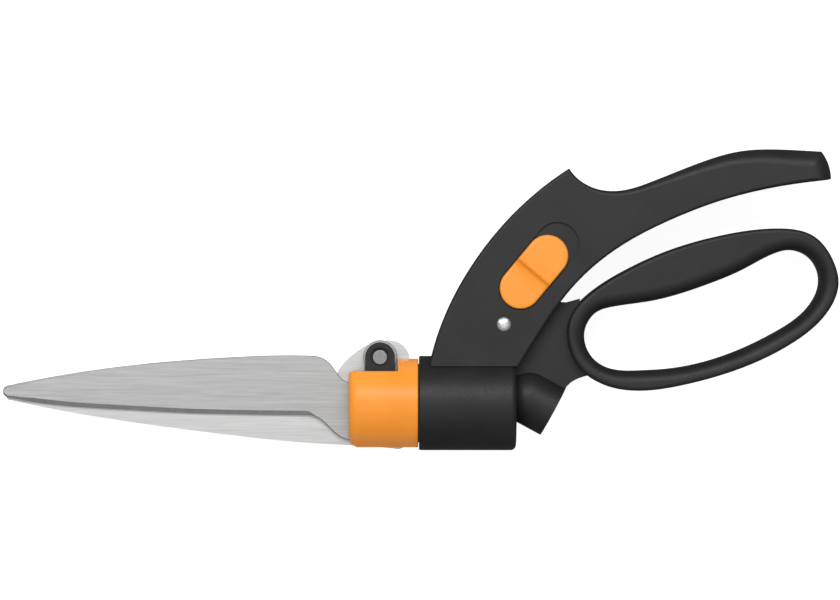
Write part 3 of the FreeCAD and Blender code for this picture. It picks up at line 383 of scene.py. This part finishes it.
def add_blades():
    """Both blades with ground cutting edges and eased backs; the fixed blade is ground behind."""
    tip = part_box("moving_blade")[0].x
    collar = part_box("head_collar")[0].x
    bevel_width, bevel_depth = 1.85 * MM, 1.35 * MM
    spine_width, spine_depth = 0.75 * MM, 0.35 * MM
    eased = 0.18 * MM
    nose_end = tip + 16 * MM
    nose_share, heel_share = 0.45, 0.28
    heel_start, heel_end = collar - 18 * MM, collar - 14 * MM
    spine_start, spine_end = tip + 30 * MM, tip + 90 * MM
    front_end, back_end = collar + 6 * MM, collar - 9 * MM

    def front_cut(x, y, normal):
        """Full along the edge, narrower at the nose and the heel, with the spine eased towards the tip."""
        facing = normal.normalized().y
        share = smooth_step(facing, 0.2, 0.5) if x < front_end else 0.0
        share *= nose_share + (1 - nose_share) * smooth_step(x, tip + 1 * MM, nose_end)
        share *= 1 - (1 - heel_share) * smooth_step(x, heel_start, heel_end)
        back = smooth_step(-facing, 0.2, 0.7) * (1 - smooth_step(x, spine_start, spine_end))
        width = max(eased, bevel_width * share, spine_width * back)
        depth = max(eased, bevel_depth * share, spine_depth * back)
        return width, depth, share > 0.2

    def back_cut(x, y, normal):
        facing = normal.normalized().y
        share = smooth_step(-facing, 0.2, 0.5) if x < back_end else 0.0
        width = max(eased, bevel_width * share)
        return width, max(eased, bevel_depth * share), share > 0.2

    bevelled_plate("blade_moving", "moving_blade", "moving_blade",
                   ["blade_steel", "ground_steel"], front_cut)
    bevelled_plate("blade_fixed", "fixed_blade", "blade_head",
                   ["back_steel", "ground_steel"], back_cut, front=False)


def stadium(half_run, radius, count):
    """Points of a stadium about the origin along X, the same number for any size, anticlockwise."""
    bend = count // 5
    straight = count // 2 - bend
    points = []
    for side in (1, -1):
        for index in range(bend):
            turn = -math.pi / 2 + math.pi * index / bend
            points.append((side * (half_run + radius * math.cos(turn)), side * radius * math.sin(turn)))
        for index in range(straight):
            points.append((side * (half_run - 2 * half_run * index / straight), side * radius))
    return points


def add_lock_slide():
    """The thumb slide: a ridge across the middle, hollow below it and gently sloped above it."""
    low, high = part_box("lock_slide")
    handle_low, handle_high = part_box("upper_handle")
    half_thickness = 13 * MM
    cheek = (handle_low.z + handle_high.z) / 2 + half_thickness
    middle = (low + high) / 2
    slant = math.radians(50.1)
    length, width = 35 * MM, 17.4 * MM
    half_run, radius = length / 2 - width / 2, width / 2
    rise = high.z - cheek
    floor = cheek - 1.0 * MM
    rounding = 0.9 * MM
    # In mm: a ridge across the middle, the thumb's hollow below it, and a dip and a fall above it.
    ridge_height, ridge_half = 0.45, 0.75
    hollow_depth, hollow_reach = 1.35, 4.6
    dip_depth, dip_reach = 0.45, 1.2
    fall, fall_reach = 1.3, 17

    def crown(along):
        """Height of the top above the cheek, at a distance up the slide from its middle."""
        place = along / MM
        ridge = ridge_height * math.exp(-((place / ridge_half) ** 2))
        if place < 0:
            share = -place / hollow_reach
            hollow = -hollow_depth * share * math.exp(1 - share)
        else:
            share = place / dip_reach
            hollow = -dip_depth * share * math.exp(1 - share) - fall * (place / fall_reach) ** 1.5
        return (rise / MM - ridge_height + ridge + hollow) * MM

    # In mm from the rim, closer together where it is rounded.
    insets = [0, 0.12, 0.3, 0.55, 0.9, 1.5, 2.4, 3.6, 5.0, 6.6, 8.2, 8.69]
    count = 260
    points, faces = [], []
    turned = Matrix.Rotation(slant, 3, "Z")

    def ring(inset, height):
        first = len(points)
        for x, y in stadium(half_run, radius - inset * MM, count):
            place = turned @ Vector((x, y, 0))
            points.append((middle.x + place.x, middle.y + place.y, height(x)))
        return list(range(first, first + count))

    def drop(inset):
        gone = max(0.0, rounding - inset * MM)
        return rounding - math.sqrt(max(0.0, rounding**2 - gone**2))

    rings = [ring(0, lambda x: floor)]
    rings += [ring(inset, lambda x: crown(x) + cheek - drop(inset)) for inset in insets]
    for lower, upper in zip(rings, rings[1:]):
        for index in range(count):
            after = (index + 1) % count
            faces.append((lower[index], lower[after], upper[after], upper[index]))
    faces.append(tuple(reversed(rings[0])))
    top = rings[-1]
    bend = count // 5
    for step in range(count // 2 - bend):
        near, far = bend + step, count - step
        faces.append((top[near], top[near + 1], top[far - 1], top[far % count]))
    faces.append(tuple(top[:bend + 1]))
    faces.append(tuple(top[count // 2:count // 2 + bend + 1]))
    piece = add_piece("thumb_slide", points, faces, "lock", ["orange_plastic"], 60)
    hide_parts("lock_slide")


add_blades()
add_lock_slide()


# ---------------------------------------------------------------- floor, light and camera


def add_floor():
    """A white table top that glows a little, as a lit studio table does."""
    mesh = bpy.data.meshes.new("floor")
    half = 20.0
    mesh.from_pydata([(-half, -half, 0), (half, -half, 0), (half, half, 0), (-half, half, 0)], [],
                     [(0, 1, 2, 3)])
    floor = bpy.data.objects.new("floor", mesh)
    bpy.context.collection.objects.link(floor)
    material = bpy.data.materials.new("floor")
    material.use_nodes = True
    shader = material.node_tree.nodes["Principled BSDF"]
    shader.inputs["Base Color"].default_value = (0.4, 0.4, 0.4, 1)
    shader.inputs["Roughness"].default_value = 0.9
    shader.inputs["Specular IOR Level"].default_value = 0.0
    shader.inputs["Emission Color"].default_value = (1, 1, 1, 1)
    shader.inputs["Emission Strength"].default_value = 0.9
    mesh.materials.append(material)
    floor.visible_glossy = False


SKY = [(0.0, 0.10), (0.5, 0.16), (0.8, 0.55), (0.93, 1.0)]  # grey of the room by the height of the view


def add_area(name, place, target, size, power):
    light = bpy.data.lights.new(name, "AREA")
    light.shape = "RECTANGLE"
    light.size, light.size_y = size
    light.energy = power
    lamp = bpy.data.objects.new(name, light)
    lamp.location = place
    lamp.rotation_euler = (Vector(target) - Vector(place)).to_track_quat("-Z", "Y").to_euler()
    bpy.context.collection.objects.link(lamp)


def add_camera():
    """Straight above the shears, with a long lens."""
    low, high = cad_box
    centre = (Vector(low) + Vector(high)) / 2
    view_width = 0.3528
    data = bpy.data.cameras.new("camera")
    data.lens = 180
    data.sensor_width = 36
    camera = bpy.data.objects.new("camera", data)
    distance = view_width * data.lens / data.sensor_width
    camera.location = (centre.x, centre.y, centre.z + distance)
    bpy.context.collection.objects.link(camera)
    bpy.context.scene.camera = camera


def add_light():
    """A dim room with a broad soft light overhead, and a softbox behind and above the shears."""
    world = bpy.data.worlds.new("studio")
    bpy.context.scene.world = world
    world.use_nodes = True
    tree = world.node_tree
    direction = tree.nodes.new("ShaderNodeTexCoord").outputs["Generated"]
    parts = tree.nodes.new("ShaderNodeSeparateXYZ")
    tree.links.new(direction, parts.inputs["Vector"])
    ramp = tree.nodes.new("ShaderNodeValToRGB")
    tree.links.new(parts.outputs["Z"], ramp.inputs["Fac"])
    elements = ramp.color_ramp.elements
    while len(elements) < len(SKY):
        elements.new(0.5)
    for element, (place, grey) in zip(elements, SKY):
        element.position = place
        element.color = (grey, grey, grey, 1)
    tree.links.new(ramp.outputs["Color"], tree.nodes["Background"].inputs["Color"])
    tree.nodes["Background"].inputs["Strength"].default_value = 1.0
    add_area("key", (-0.10, 0.56, 1.15), (0, 0, 0), (1.3, 0.22), 12)


add_floor()
add_light()
add_camera()
bpy.context.scene.view_settings.view_transform = "Standard"
